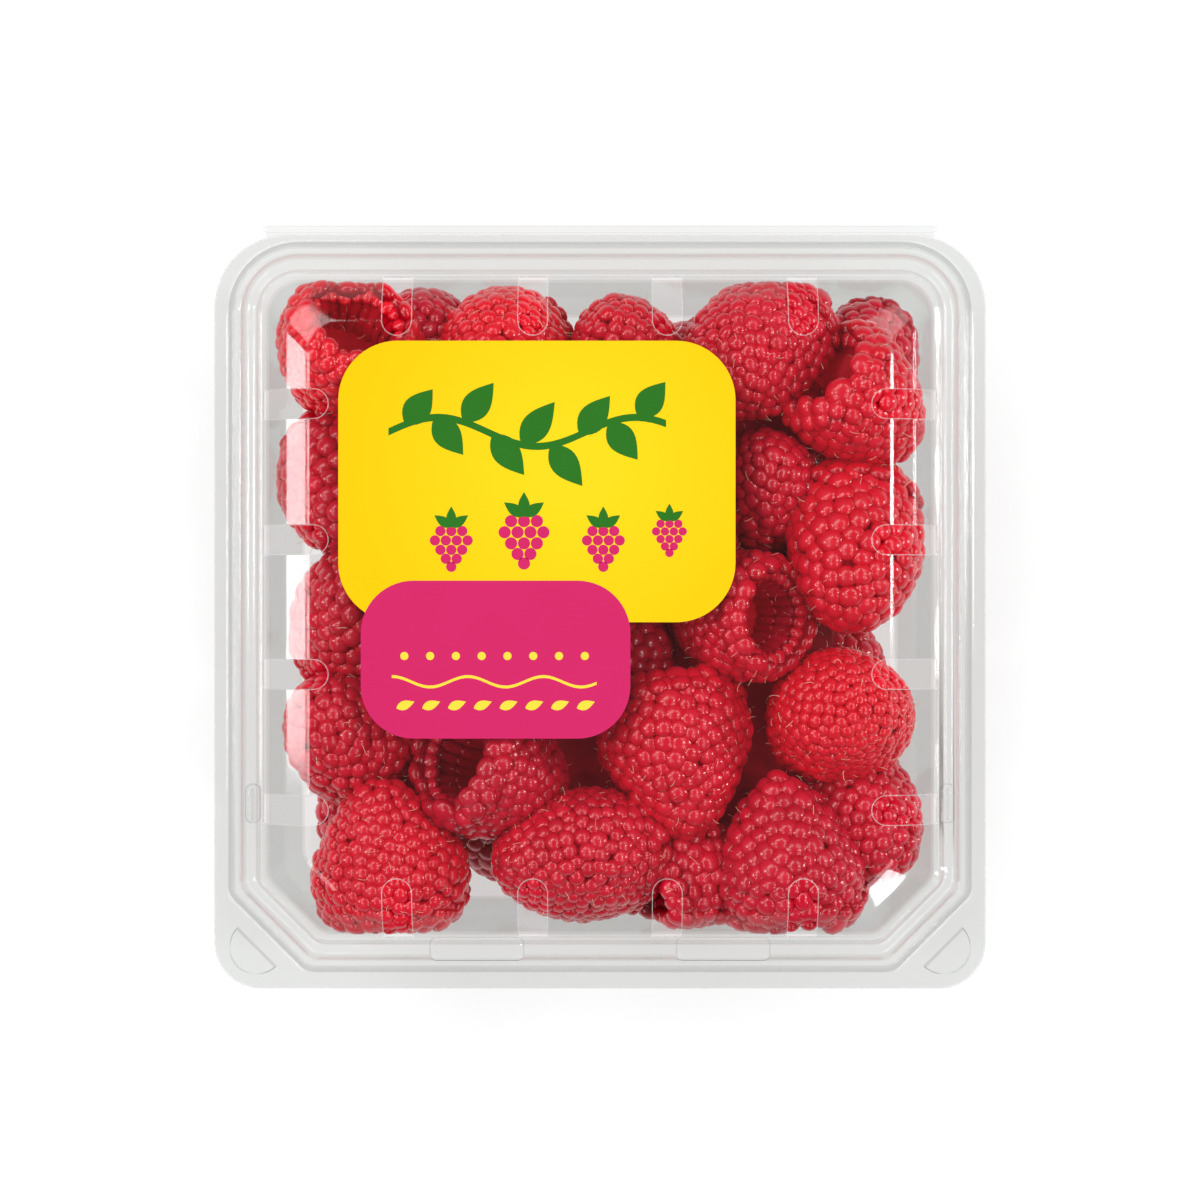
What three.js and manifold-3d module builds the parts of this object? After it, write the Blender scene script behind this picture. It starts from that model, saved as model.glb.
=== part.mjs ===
// A punnet of raspberries: a shut clear clamshell, full of berries, with a sticker on its lid.
// It lies on its floor. +X is the pack's right, +Y its hinge side and +Z up, in millimetres.
import * as THREE from 'three';
import { mergeVertices } from 'three/addons/utils/BufferGeometryUtils.js';
import Module from 'manifold-3d';

const wasm = await Module();
wasm.setup();

// Driving dimensions of the pack
const FLANGE_HALF_X = 59;
const FLANGE_FRONT_Y = -58.35;
const HINGE_RADIUS = 0.55;
const HINGE_Y = -FLANGE_FRONT_Y - HINGE_RADIUS;
const HINGE_HALF_LENGTH = 51.5;
const FLANGE_BACK_Y = HINGE_Y - 0.85;
const PARTING_Z = 33;
const LID_TOP_Z = 41.6;
const SHEET = 0.4;
const RUNNING_GAP = 0.15;

// The rings of both halves are squares with round back corners and cut front corners.
// A ring's reach is its half width; its half depth is less by RING_DIFFERENCE.
const RING_DIFFERENCE = 1;
const BACK_CORNER_DATUM = 46;
const BACK_CORNER_LEAST = 5;
const FLANGE_BACK_RADIUS = 11;
const FLANGE_FRONT_RADIUS = 7;
const BEAD_REACH = 56.9;
const BEAD_CUT = 12;
const CUT_SHRINK = 2 - Math.SQRT2;
const CUT_END_RADIUS = 3;
const CORNER_STEPS = 5;

// Vent slots of the lid, four to a side
const SLOT_WIDTH = 4.4;
const SLOT_INNER = 41.2;
const SLOT_OUTER_REACH = 51.4;
const SLOT_CENTRES = [-30.8, -10.2, 10.2, 30.8];

// The sticker: a wide panel and a smaller tab that hangs from it
const LABEL_SHEET = 0.25;
const LABEL_PANEL = { left: -39.6, right: 20.5, front: -2.3, back: 40.3, radius: 9 };
const LABEL_TAB = { left: -36.2, right: 4.6, front: -19.9, back: 4, radius: 8 };

// Berries stay this far inside the pack
const BERRY_CLEARANCE = 0.35;
const BERRY_SEGMENTS = 10;

const clearPlastic = new THREE.MeshStandardMaterial({
  color: 0xe9ebe9,
  roughness: 0.12,
  metalness: 0,
  transparent: true,
  opacity: 0.35,
});
const labelPaper = new THREE.MeshStandardMaterial({ color: 0xfedc10, roughness: 0.4, metalness: 0 });
const berryFlesh = new THREE.MeshStandardMaterial({ color: 0xc62e3a, roughness: 0.45, metalness: 0 });

// Closed three.js geometry to a solid, and a solid back to geometry
function toSolid(geometry) {
  const bare = geometry.clone();
  bare.deleteAttribute('normal');
  bare.deleteAttribute('uv');
  const merged = mergeVertices(bare, 1e-4);
  const index = merged.getIndex().array;
  const triangles = [];
  for (let i = 0; i < index.length; i += 3) {
    const [a, b, c] = [index[i], index[i + 1], index[i + 2]];
    if (a !== b && b !== c && c !== a) {
      triangles.push(a, b, c);
    }
  }
  return new wasm.Manifold(new wasm.Mesh({
    numProp: 3,
    vertProperties: new Float32Array(merged.getAttribute('position').array),
    triVerts: new Uint32Array(triangles),
  }));
}

function toGeometry(solid) {
  const mesh = solid.getMesh();
  const geometry = new THREE.BufferGeometry();
  geometry.setAttribute('position', new THREE.BufferAttribute(mesh.vertProperties.slice(), 3));
  geometry.setIndex(new THREE.BufferAttribute(mesh.triVerts.slice(), 1));
  geometry.computeVertexNormals();
  return geometry;
}

// The arc that rounds a left turn at a corner, between two headings in radians
function roundedTurn(x, y, headingFrom, headingTo, radius, steps) {
  const tangent = radius * Math.tan((headingTo - headingFrom) / 2);
  const centreX = x - tangent * Math.cos(headingFrom) - radius * Math.sin(headingFrom);
  const centreY = y - tangent * Math.sin(headingFrom) + radius * Math.cos(headingFrom);
  const points = [];
  for (let step = 0; step <= steps; step += 1) {
    const heading = headingFrom + (step / steps) * (headingTo - headingFrom);
    points.push([centreX + radius * Math.sin(heading), centreY - radius * Math.cos(heading)]);
  }
  return points;
}

const QUARTER = Math.PI / 2;

// One ring of the pack at a reach, counterclockwise from the back right corner
function ringOutline(reach) {
  const halfY = reach - RING_DIFFERENCE;
  const radius = Math.max(BACK_CORNER_LEAST, reach - BACK_CORNER_DATUM);
  const cut = BEAD_CUT - (BEAD_REACH - reach) * CUT_SHRINK;
  const halfTurn = QUARTER / 2;
  const arcSteps = (CORNER_STEPS - 1) / 2;
  return [
    ...roundedTurn(reach, halfY, QUARTER, 2 * QUARTER, radius, CORNER_STEPS),
    ...roundedTurn(-reach, halfY, 2 * QUARTER, 3 * QUARTER, radius, CORNER_STEPS),
    ...roundedTurn(-reach, cut - halfY, -QUARTER, -halfTurn, CUT_END_RADIUS, arcSteps),
    ...roundedTurn(cut - reach, -halfY, -halfTurn, 0, CUT_END_RADIUS, arcSteps),
    ...roundedTurn(reach - cut, -halfY, 0, halfTurn, CUT_END_RADIUS, arcSteps),
    ...roundedTurn(reach, cut - halfY, halfTurn, QUARTER, CUT_END_RADIUS, arcSteps),
  ];
}

// The flange's edge, whose front corners stay round and so form the two pull tabs
function flangeOutline() {
  const x = FLANGE_HALF_X;
  return [
    ...roundedTurn(x, FLANGE_BACK_Y, QUARTER, 2 * QUARTER, FLANGE_BACK_RADIUS, CORNER_STEPS),
    ...roundedTurn(-x, FLANGE_BACK_Y, 2 * QUARTER, 3 * QUARTER, FLANGE_BACK_RADIUS, CORNER_STEPS),
    ...roundedTurn(-x, FLANGE_FRONT_Y, -QUARTER, 0, FLANGE_FRONT_RADIUS, CORNER_STEPS),
    ...roundedTurn(x, FLANGE_FRONT_Y, 0, QUARTER, FLANGE_FRONT_RADIUS, CORNER_STEPS),
  ];
}

// A closed solid through a list of rings, from the cap that faces up to the cap that faces down
function sweptSolid(rings) {
  const count = rings[0].points.length;
  const positions = [];
  const index = [];
  for (const ring of rings) {
    for (const [x, y] of ring.points) {
      positions.push(x, y, ring.z);
    }
  }
  for (let level = 0; level < rings.length - 1; level += 1) {
    for (let i = 0; i < count; i += 1) {
      const next = (i + 1) % count;
      const a = level * count + i;
      const b = level * count + next;
      const c = a + count;
      const d = b + count;
      index.push(a, c, d, a, d, b);
    }
  }
  const last = (rings.length - 1) * count;
  const topCentre = rings.length * count;
  positions.push(0, 0, rings[0].z, 0, 0, rings[rings.length - 1].z);
  for (let i = 0; i < count; i += 1) {
    const next = (i + 1) % count;
    index.push(topCentre, i, next);
    index.push(topCentre + 1, last + next, last + i);
  }
  const geometry = new THREE.BufferGeometry();
  geometry.setAttribute('position', new THREE.BufferAttribute(new Float32Array(positions), 3));
  geometry.setIndex(index);
  return toSolid(geometry);
}

// A profile of [reach, z] points, moved by the sheet's thickness to its right-hand side
function offsetProfile(profile, distance) {
  const moved = [];
  for (let i = 0; i < profile.length; i += 1) {
    const before = profile[Math.max(i - 1, 0)];
    const after = profile[Math.min(i + 1, profile.length - 1)];
    const here = profile[i];
    const normals = [];
    for (const [from, to] of [[before, here], [here, after]]) {
      const along = new THREE.Vector2(to[0] - from[0], to[1] - from[1]);
      if (along.length() > 0) {
        along.normalize();
        normals.push(new THREE.Vector2(along.y, -along.x));
      }
    }
    const mean = normals[0].clone().add(normals[normals.length - 1]).normalize();
    const mitre = distance / mean.dot(normals[0]);
    moved.push([here[0] + mean.x * mitre, here[1] + mean.y * mitre]);
  }
  return moved;
}

function profileRings(profile) {
  return profile.map(([reach, z]) => ({ points: ringOutline(reach), z }));
}

// An upright prism from an outline of [x, y] points
function prism(points, bottom, top) {
  const shape = new THREE.Shape(points.map(([x, y]) => new THREE.Vector2(x, y)));
  const geometry = new THREE.ExtrudeGeometry(shape, { depth: top - bottom, bevelEnabled: false });
  geometry.translate(0, 0, bottom);
  return toSolid(geometry);
}

function roundedRectangle({ left, right, front, back, radius }, steps) {
  return [
    ...roundedTurn(right, back, QUARTER, 2 * QUARTER, radius, steps),
    ...roundedTurn(left, back, 2 * QUARTER, 3 * QUARTER, radius, steps),
    ...roundedTurn(left, front, -QUARTER, 0, radius, steps),
    ...roundedTurn(right, front, 0, QUARTER, radius, steps),
  ];
}

// The D-shaped emboss on each front corner tab, a half disc that faces outwards
function tabEmboss(side, bottom, top) {
  const centreX = 52.4;
  const centreY = -51.9;
  const radius = 4.3;
  const steps = 8;
  const points = [];
  for (let step = 0; step <= steps; step += 1) {
    const angle = -0.75 * Math.PI + (step / steps) * Math.PI;
    points.push([side * (centreX + radius * Math.cos(angle)), centreY + radius * Math.sin(angle)]);
  }
  return prism(side > 0 ? points : points.reverse(), bottom, top);
}

// Tray: a drafted tub with a flat floor, a flange round its mouth, a ridge that the lid's bead
// snaps over, and the rounded fold of the hinge along its back edge
function makeTray() {
  const flangeTop = PARTING_Z - RUNNING_GAP;
  const flangeBottom = flangeTop - SHEET;
  const outside = [[0, 0], [46.6, 0], [47.5, 0.9], [52.1, flangeBottom], [FLANGE_HALF_X, flangeBottom]];
  const inside = offsetProfile(outside, -SHEET);
  const ridge = [[54.75, flangeTop], [55.15, flangeTop + 1.6], [55.75, flangeTop + 1.6], [56.15, flangeTop]];
  const rim = flangeOutline();
  const tub = sweptSolid([
    ...profileRings([...inside.slice(1, -1), ...ridge]),
    { points: rim, z: flangeTop },
    { points: rim, z: flangeBottom },
    ...profileRings(outside.slice(1, -1).reverse()),
  ]);
  const strip = prism([
    [-HINGE_HALF_LENGTH, FLANGE_BACK_Y - 0.5],
    [HINGE_HALF_LENGTH, FLANGE_BACK_Y - 0.5],
    [HINGE_HALF_LENGTH, HINGE_Y],
    [-HINGE_HALF_LENGTH, HINGE_Y],
  ], flangeBottom, flangeTop);
  const fold = new THREE.CylinderGeometry(HINGE_RADIUS, HINGE_RADIUS, 2 * HINGE_HALF_LENGTH, 12);
  fold.rotateZ(QUARTER);
  fold.translate(0, HINGE_Y, PARTING_Z);
  const tabs = [-1, 1].map((side) => tabEmboss(side, flangeBottom - 0.6, flangeBottom + 0.1));
  return tabs.reduce((solid, tab) => solid.add(tab), tub.add(strip).add(toSolid(fold)));
}

// Lid: a flat panel, a shoulder and a wall down to a groove, the bead and the flange, with snap
// bosses in the groove and vent slots that run from the panel down the wall
function makeLid() {
  const flangeTop = PARTING_Z + RUNNING_GAP + SHEET;
  const grooveTop = 34.1;
  const beadTop = 35.9;
  const outside = [
    [0, LID_TOP_Z],
    [44.6, LID_TOP_Z],
    [47.9, 39.9],
    [51.8, 34.4],
    [53.9, grooveTop],
    [54.6, beadTop],
    [56.2, beadTop],
    [BEAD_REACH, flangeTop],
    [FLANGE_HALF_X, flangeTop],
  ];
  const inside = offsetProfile(outside, SHEET);
  const rim = flangeOutline();
  let lid = sweptSolid([
    ...profileRings(outside.slice(1, -1)),
    { points: rim, z: flangeTop },
    { points: rim, z: flangeTop - SHEET },
    ...profileRings(inside.slice(1, -1).reverse()),
  ]);
  for (const x of [-18.8, 18.8]) {
    const boss = { left: x - 10.5, right: x + 10.5, front: -53.9, back: -50.6, radius: 1.2 };
    lid = lid.add(prism(roundedRectangle(boss, 3), grooveTop - 0.2, beadTop - 0.2));
  }
  for (const side of [-1, 1]) {
    const x = side * 53;
    const boss = { left: x - 1.1, right: x + 1.1, front: -33, back: -27, radius: 0.9 };
    lid = lid.add(prism(roundedRectangle(boss, 3), grooveTop - 0.2, beadTop - 0.5));
    lid = lid.add(tabEmboss(side, flangeTop - 0.1, flangeTop + 0.6));
  }
  for (let side = 0; side < 4; side += 1) {
    const outer = SLOT_OUTER_REACH - (side % 2 ? RING_DIFFERENCE : 0);
    for (const centre of SLOT_CENTRES) {
      lid = lid.subtract(ventSlot(centre, outer).rotate([0, 0, side * 90]));
    }
  }
  return lid;
}

// The cutter of one vent slot on the +X side: round at its inner end, square at its outer end
function ventSlot(centre, outer) {
  const half = SLOT_WIDTH / 2;
  const steps = 6;
  const points = [[outer, centre - half], [outer, centre + half]];
  for (let step = 0; step <= steps; step += 1) {
    const angle = QUARTER + (step / steps) * Math.PI;
    points.push([SLOT_INNER + half + half * Math.cos(angle), centre + half * Math.sin(angle)]);
  }
  return prism(points, PARTING_Z + 1.3, LID_TOP_Z + 1);
}

function makeLabel() {
  const bottom = LID_TOP_Z + RUNNING_GAP;
  const top = bottom + LABEL_SHEET;
  const panel = prism(roundedRectangle(LABEL_PANEL, 5), bottom, top);
  return panel.add(prism(roundedRectangle(LABEL_TAB, 5), bottom, top));
}

// Berries of the upper layer as [x, y, z of the middle, radius, height, azimuth and elevation of
// the tip in degrees]. A tip that points down shows the hollow left by the berry's core.
const UPPER_BERRIES = [
  [-39.4, 37.4, 29.4, 10.8, 22, 240, -40],
  [-15.5, 39.2, 29.8, 10.2, 21, 200, 70],
  [-27.5, 41.5, 23.5, 9, 19, 100, 60],
  [3.6, 39.6, 27.4, 9.6, 20, 100, 60],
  [23, 38.9, 29.6, 11, 23, 215, 35],
  [41.5, 41.5, 23.5, 9, 19, 225, 50],
  [40, 32, 29.3, 11.2, 22.5, -35, -15],
  [26.3, 19.2, 26.5, 9.4, 20, 100, 60],
  [39.2, 7.5, 29.2, 11.1, 25, -95, 30],
  [20.8, -2.2, 28.8, 10.6, 21.5, 175, -25],
  [37.4, -16.2, 29.4, 11.2, 22, 60, 75],
  [12, -24, 29.2, 12, 24.5, -85, 25],
  [28.8, -37, 29.2, 12.2, 23.5, 100, 30],
  [16.5, -41, 23.5, 9, 19, 20, -20],
  [41.5, -34, 23.5, 9.5, 20, -60, 30],
  [-4.8, -38.3, 29.3, 10.6, 25, 185, 20],
  [-17.5, -25, 29, 11, 23, -40, -25],
  [-32.8, -38, 29.4, 11.3, 22.5, 95, 35],
  [-40, -18.5, 27.4, 10.3, 21, 150, 50],
  [-38.5, -0.5, 26.8, 10, 20.5, 90, 40],
  [-40.6, 17.5, 27.2, 10, 21, 270, 40],
  [2, -7.5, 23.5, 10.5, 21, 0, 30],
  [-20, 18, 29, 11, 22, 30, 70],
  [3, 20, 28.6, 10.8, 22, 150, 70],
  [-18, -3, 28.8, 10.8, 22, 270, 70],
];

// Berries of the lower layer lie in rows on the floor
const LOWER_ROWS = [-35, -11.8, 11.8, 35];
const LOWER_Z = 11.4;

// The same sequence of numbers from 0 to 1 on every run
function seededRandom(seed) {
  let state = seed;
  return () => {
    state = (state * 16807) % 2147483647;
    return state / 2147483647;
  };
}

// One berry: an egg-shaped body cut off at its rim, with the hollow that its core leaves
function makeBerry([x, y, z, radius, height, azimuth, elevation]) {
  const middle = 0.36 * height;
  const length = height - middle;
  const rimAngle = Math.acos(-middle / length);
  const outerSteps = 5;
  const profile = [new THREE.Vector2(0, 0.55 * height)];
  profile.push(new THREE.Vector2(0.34 * radius, 0.42 * height));
  profile.push(new THREE.Vector2(0.56 * radius, 0.03 * height));
  for (let step = outerSteps; step >= 0; step -= 1) {
    const angle = (step / outerSteps) * rimAngle;
    profile.push(new THREE.Vector2(radius * Math.sin(angle), middle + length * Math.cos(angle)));
  }
  const geometry = new THREE.LatheGeometry(profile, BERRY_SEGMENTS);
  geometry.translate(0, -height / 2, 0);
  const level = Math.cos(THREE.MathUtils.degToRad(elevation));
  const tip = new THREE.Vector3(
    level * Math.cos(THREE.MathUtils.degToRad(azimuth)),
    level * Math.sin(THREE.MathUtils.degToRad(azimuth)),
    Math.sin(THREE.MathUtils.degToRad(elevation)),
  );
  geometry.applyQuaternion(new THREE.Quaternion().setFromUnitVectors(new THREE.Vector3(0, 1, 0), tip));
  geometry.translate(x, y, z);
  return toSolid(geometry);
}

// Heap: the berries of both layers joined to a smaller core and kept inside the pack
function makeBerries() {
  const random = seededRandom(7);
  const spread = (amount) => (random() - 0.5) * amount;
  const berries = UPPER_BERRIES.map(makeBerry);
  for (const x of LOWER_ROWS) {
    for (const y of LOWER_ROWS) {
      const radius = 10.3 + spread(1);
      const height = 21 + spread(2.4);
      const place = [x + spread(2), y + spread(2), LOWER_Z];
      berries.push(makeBerry([...place, radius, height, 360 * random(), spread(70)]));
    }
  }
  const core = sweptSolid(profileRings([[36, 25], [39, 21], [39, 8], [36, 4]]));
  const room = sweptSolid(profileRings([
    [44.2, LID_TOP_Z - SHEET - BERRY_CLEARANCE],
    [47.2, 39.2],
    [50.7, 34.3],
    [51.3, PARTING_Z - 1],
    [47, 1.6],
    [46.2, SHEET + BERRY_CLEARANCE],
  ]));
  const heap = wasm.Manifold.union([core, ...berries]).intersect(room);
  const shells = heap.decompose();
  shells.sort((one, other) => other.volume() - one.volume());
  return shells[0];
}

function addPart(group, name, solid, material) {
  const mesh = new THREE.Mesh(toGeometry(solid), material);
  mesh.name = name;
  group.add(mesh);
}

const punnet = new THREE.Group();
addPart(punnet, 'tray', makeTray(), clearPlastic);
addPart(punnet, 'berries', makeBerries(), berryFlesh);
addPart(punnet, 'lid', makeLid(), clearPlastic);
addPart(punnet, 'label', makeLabel(), labelPaper);

export default punnet;
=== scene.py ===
import math
from collections import namedtuple
import bpy
import numpy as np
from mathutils import Matrix, Vector


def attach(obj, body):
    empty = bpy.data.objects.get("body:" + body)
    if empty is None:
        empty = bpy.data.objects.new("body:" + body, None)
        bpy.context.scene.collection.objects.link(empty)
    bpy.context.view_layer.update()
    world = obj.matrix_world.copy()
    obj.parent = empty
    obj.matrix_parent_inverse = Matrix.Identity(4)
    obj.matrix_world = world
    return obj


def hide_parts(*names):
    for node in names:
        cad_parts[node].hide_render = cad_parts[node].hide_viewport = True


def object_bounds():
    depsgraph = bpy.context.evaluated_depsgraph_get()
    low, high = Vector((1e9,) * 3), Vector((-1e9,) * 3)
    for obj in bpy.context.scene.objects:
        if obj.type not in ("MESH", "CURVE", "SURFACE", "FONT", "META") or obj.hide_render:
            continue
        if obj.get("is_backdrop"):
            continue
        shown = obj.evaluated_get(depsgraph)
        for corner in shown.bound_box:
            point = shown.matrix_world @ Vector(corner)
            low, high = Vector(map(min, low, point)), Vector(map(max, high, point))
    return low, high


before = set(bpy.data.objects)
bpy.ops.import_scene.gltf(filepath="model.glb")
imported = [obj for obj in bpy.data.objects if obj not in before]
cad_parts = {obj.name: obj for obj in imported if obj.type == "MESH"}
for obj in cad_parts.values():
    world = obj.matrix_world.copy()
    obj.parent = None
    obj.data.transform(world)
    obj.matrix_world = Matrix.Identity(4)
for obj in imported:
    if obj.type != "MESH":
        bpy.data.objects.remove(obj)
cad_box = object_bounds()


# Tray: the lower half of the clamshell, a drafted tub with a flange round its mouth. It is
# formed from clear PET sheet, with a snap ridge under the lid's bead and a fold at its back
# edge that joins it to the lid.
MM = 0.001
SHEET = 0.4
PARTING_Z = 33.0
RUNNING_GAP = 0.15
FLANGE_HALF_X = 59.0
FLANGE_FRONT_Y = -58.35
FOLD_RADIUS = 0.55
FOLD_Y = -FLANGE_FRONT_Y - FOLD_RADIUS
FOLD_HALF_LENGTH = 51.5
FLANGE_BACK_Y = FOLD_Y - 0.85
RING_DIFFERENCE = 1.0
BEAD_REACH = 56.9
BEAD_CUT = 12.0
CUT_END_RADIUS = 3.0
BACK_CORNER_DATUM = 46.0
BACK_CORNER_LEAST = 5.0
FLANGE_BACK_RADIUS = 11.0
FLANGE_FRONT_RADIUS = 7.0
BEND_STEP = math.radians(14)
BEND_SHARE = 0.42
TAB_CENTRE = (52.4, -51.9)
TAB_RADIUS = 4.3
TAB_TOP_RADIUS = 4.0
TAB_ARC = (-0.74 * math.pi, 0.24 * math.pi)
DIAGONAL = 0.7  # how far a diagonal move of 1 goes along each axis
SHARPEST_ROUNDED = math.radians(38)
FOLD_SIDES = 16
FOLD_END_LENGTH = 0.6
FOLD_END_SHARE = 0.6
QUARTER = math.pi / 2


def rounded_turn(x, y, heading_from, heading_to, radius, steps):
    """The arc that rounds a left turn at a corner, between two headings."""
    tangent = radius * math.tan((heading_to - heading_from) / 2)
    centre_x = x - tangent * math.cos(heading_from) - radius * math.sin(heading_from)
    centre_y = y - tangent * math.sin(heading_from) + radius * math.cos(heading_from)
    headings = np.linspace(heading_from, heading_to, steps + 1)
    return [(centre_x + radius * math.sin(h), centre_y - radius * math.cos(h)) for h in headings]


def ring_outline(reach, steps=15):
    """One ring of the pack: round back corners and front corners cut at 45 degrees."""
    half_y = reach - RING_DIFFERENCE
    radius = max(BACK_CORNER_LEAST, reach - BACK_CORNER_DATUM)
    cut = BEAD_CUT - (BEAD_REACH - reach) * (2 - math.sqrt(2))
    eighth = QUARTER / 2
    arc = (steps - 1) // 2
    return (
        rounded_turn(reach, half_y, QUARTER, 2 * QUARTER, radius, steps)
        + rounded_turn(-reach, half_y, 2 * QUARTER, 3 * QUARTER, radius, steps)
        + rounded_turn(-reach, cut - half_y, -QUARTER, -eighth, CUT_END_RADIUS, arc)
        + rounded_turn(cut - reach, -half_y, -eighth, 0, CUT_END_RADIUS, arc)
        + rounded_turn(reach - cut, -half_y, 0, eighth, CUT_END_RADIUS, arc)
        + rounded_turn(reach, cut - half_y, eighth, QUARTER, CUT_END_RADIUS, arc)
    )


def flange_outline(inset=0.0, steps=15):
    """The flange's edge, whose round front corners are the two pull tabs."""
    x = FLANGE_HALF_X - inset
    back = FLANGE_BACK_Y - inset
    front = FLANGE_FRONT_Y + inset
    back_radius = FLANGE_BACK_RADIUS - inset
    front_radius = FLANGE_FRONT_RADIUS - inset
    return (
        rounded_turn(x, back, QUARTER, 2 * QUARTER, back_radius, steps)
        + rounded_turn(-x, back, 2 * QUARTER, 3 * QUARTER, back_radius, steps)
        + rounded_turn(-x, front, -QUARTER, 0, front_radius, steps)
        + rounded_turn(x, front, 0, QUARTER, front_radius, steps)
    )


def round_bends(profile, radius):
    """A [reach, z] profile with each bend rounded, as a formed sheet's bends are."""
    rounded = [profile[0]]
    for before, here, after in zip(profile, profile[1:], profile[2:]):
        into = Vector(here) - Vector(before)
        out = Vector(after) - Vector(here)
        turn = into.angle(out)
        length = min(radius * math.tan(turn / 2), BEND_SHARE * into.length, BEND_SHARE * out.length)
        start = Vector(here) - into.normalized() * length
        end = Vector(here) + out.normalized() * length
        steps = math.ceil(turn / BEND_STEP)
        for t in np.linspace(0, 1, steps + 1):
            point = start * (1 - t) ** 2 + Vector(here) * 2 * t * (1 - t) + end * t ** 2
            rounded.append((point.x, point.y))
    rounded.append(profile[-1])
    return rounded


def offset_profile(profile, distance):
    """The profile moved to its right-hand side by the sheet's thickness."""
    points = np.array(profile)
    along = np.diff(points, axis=0)
    along /= np.linalg.norm(along, axis=1)[:, None]
    normals = np.stack([along[:, 1], -along[:, 0]], axis=1)
    before = np.vstack([normals[:1], normals])
    after = np.vstack([normals, normals[-1:]])
    mean = before + after
    mean /= np.linalg.norm(mean, axis=1)[:, None]
    mitre = distance / np.sum(mean * before, axis=1)
    return [tuple(p) for p in points + mean * mitre[:, None]]


def profile_rings(profile):
    """A closed form's rings, one for each [reach, z] point."""
    return [(ring_outline(reach), z) for reach, z in profile]


def mesh_object(name, vertices, faces):
    """A mesh in millimetres as an object in the frame's metres."""
    mesh = bpy.data.meshes.new(name)
    mesh.from_pydata([tuple(c * MM for c in v) for v in vertices], [], faces)
    mesh.validate()
    made = bpy.data.objects.new(name, mesh)
    bpy.context.scene.collection.objects.link(made)
    return made


def closed_rings(rings):
    """Vertices and faces of a closed form through rings, from its upper cap to its lower cap."""
    count = len(rings[0][0])
    vertices = [(x, y, z) for outline, z in rings for x, y in outline]
    faces = [tuple(range(count))]
    for level in range(len(rings) - 1):
        for i in range(count):
            a = level * count + i
            b = level * count + (i + 1) % count
            faces.append((a, a + count, b + count, b))
    last = (len(rings) - 1) * count
    faces.append(tuple(last + i for i in reversed(range(count))))
    return vertices, faces


def boolean(target, tool, operation):
    """Adds a closed form to the target or cuts it away, and removes the tool."""
    modifier = target.modifiers.new("boolean", "BOOLEAN")
    modifier.operation = operation
    modifier.solver = "EXACT"
    modifier.object = tool
    settle(target)
    bpy.data.objects.remove(tool)


def settle(target):
    """Turns what the modifiers give into the object's own mesh."""
    depsgraph = bpy.context.evaluated_depsgraph_get()
    evaluated = target.evaluated_get(depsgraph)
    mesh = bpy.data.meshes.new_from_object(evaluated, preserve_all_data_layers=True, depsgraph=depsgraph)
    target.modifiers.clear()
    old = target.data
    target.data = mesh
    bpy.data.meshes.remove(old)


def smooth_sheet(target):
    """Rounds the shading of the bends and keeps that of the flat faces between them."""
    target.data.shade_smooth()
    target.data.set_sharp_from_angle(angle=SHARPEST_ROUNDED)
    modifier = target.modifiers.new("weighted", "WEIGHTED_NORMAL")
    modifier.keep_sharp = True
    modifier.weight = 80
    settle(target)


def pass_light(target):
    """Clear sheet dims no light: shadows and light between surfaces go through it."""
    target.visible_shadow = False
    target.visible_diffuse = False
    target.visible_glossy = False


class Wire:
    """A socket of a node tree. Arithmetic on wires adds Math nodes, node() adds any other."""

    def __init__(self, tree, socket=None):
        self.tree = tree
        self.socket = socket

    def node(self, kind, settings=None, sockets=None, output=0):
        made = self.tree.nodes.new(kind)
        for name, value in (settings or {}).items():
            setattr(made, name, value)
        for name, value in (sockets or {}).items():
            if isinstance(value, Wire):
                self.tree.links.new(value.socket, made.inputs[name])
            else:
                made.inputs[name].default_value = value
        return Wire(self.tree, made.outputs[output] if len(made.outputs) else None)

    def math(self, operation, first, second=0.0):
        return self.node("ShaderNodeMath", {"operation": operation}, {0: first, 1: second})

    def clamped(self):
        return self.node("ShaderNodeClamp", {}, {0: self})

    def blend(self, low, high):
        """The colour that goes from low to high as this value goes from 0 to 1."""
        return self.node("ShaderNodeMix", {"data_type": "RGBA"}, {0: self, 6: low, 7: high}, 2)

    def __add__(self, other):
        return self.math("ADD", self, other)

    def __radd__(self, other):
        return self.math("ADD", other, self)

    def __sub__(self, other):
        return self.math("SUBTRACT", self, other)

    def __rsub__(self, other):
        return self.math("SUBTRACT", other, self)

    def __mul__(self, other):
        return self.math("MULTIPLY", self, other)

    def __rmul__(self, other):
        return self.math("MULTIPLY", other, self)

    def __pow__(self, other):
        return self.math("POWER", self, other)


def new_material(name):
    """An empty material and the wire that its nodes start from."""
    material = bpy.data.materials.new(name)
    material.use_nodes = True
    material.node_tree.nodes.clear()
    return material, Wire(material.node_tree)


def object_noise(wire, scale, detail=2.0, roughness=0.5):
    """Noise on Object coordinates, in cells per metre."""
    place = wire.node("ShaderNodeTexCoord", output=3)
    sockets = {"Vector": place, "Scale": scale, "Detail": detail, "Roughness": roughness}
    return wire.node("ShaderNodeTexNoise", {}, sockets)


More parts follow.
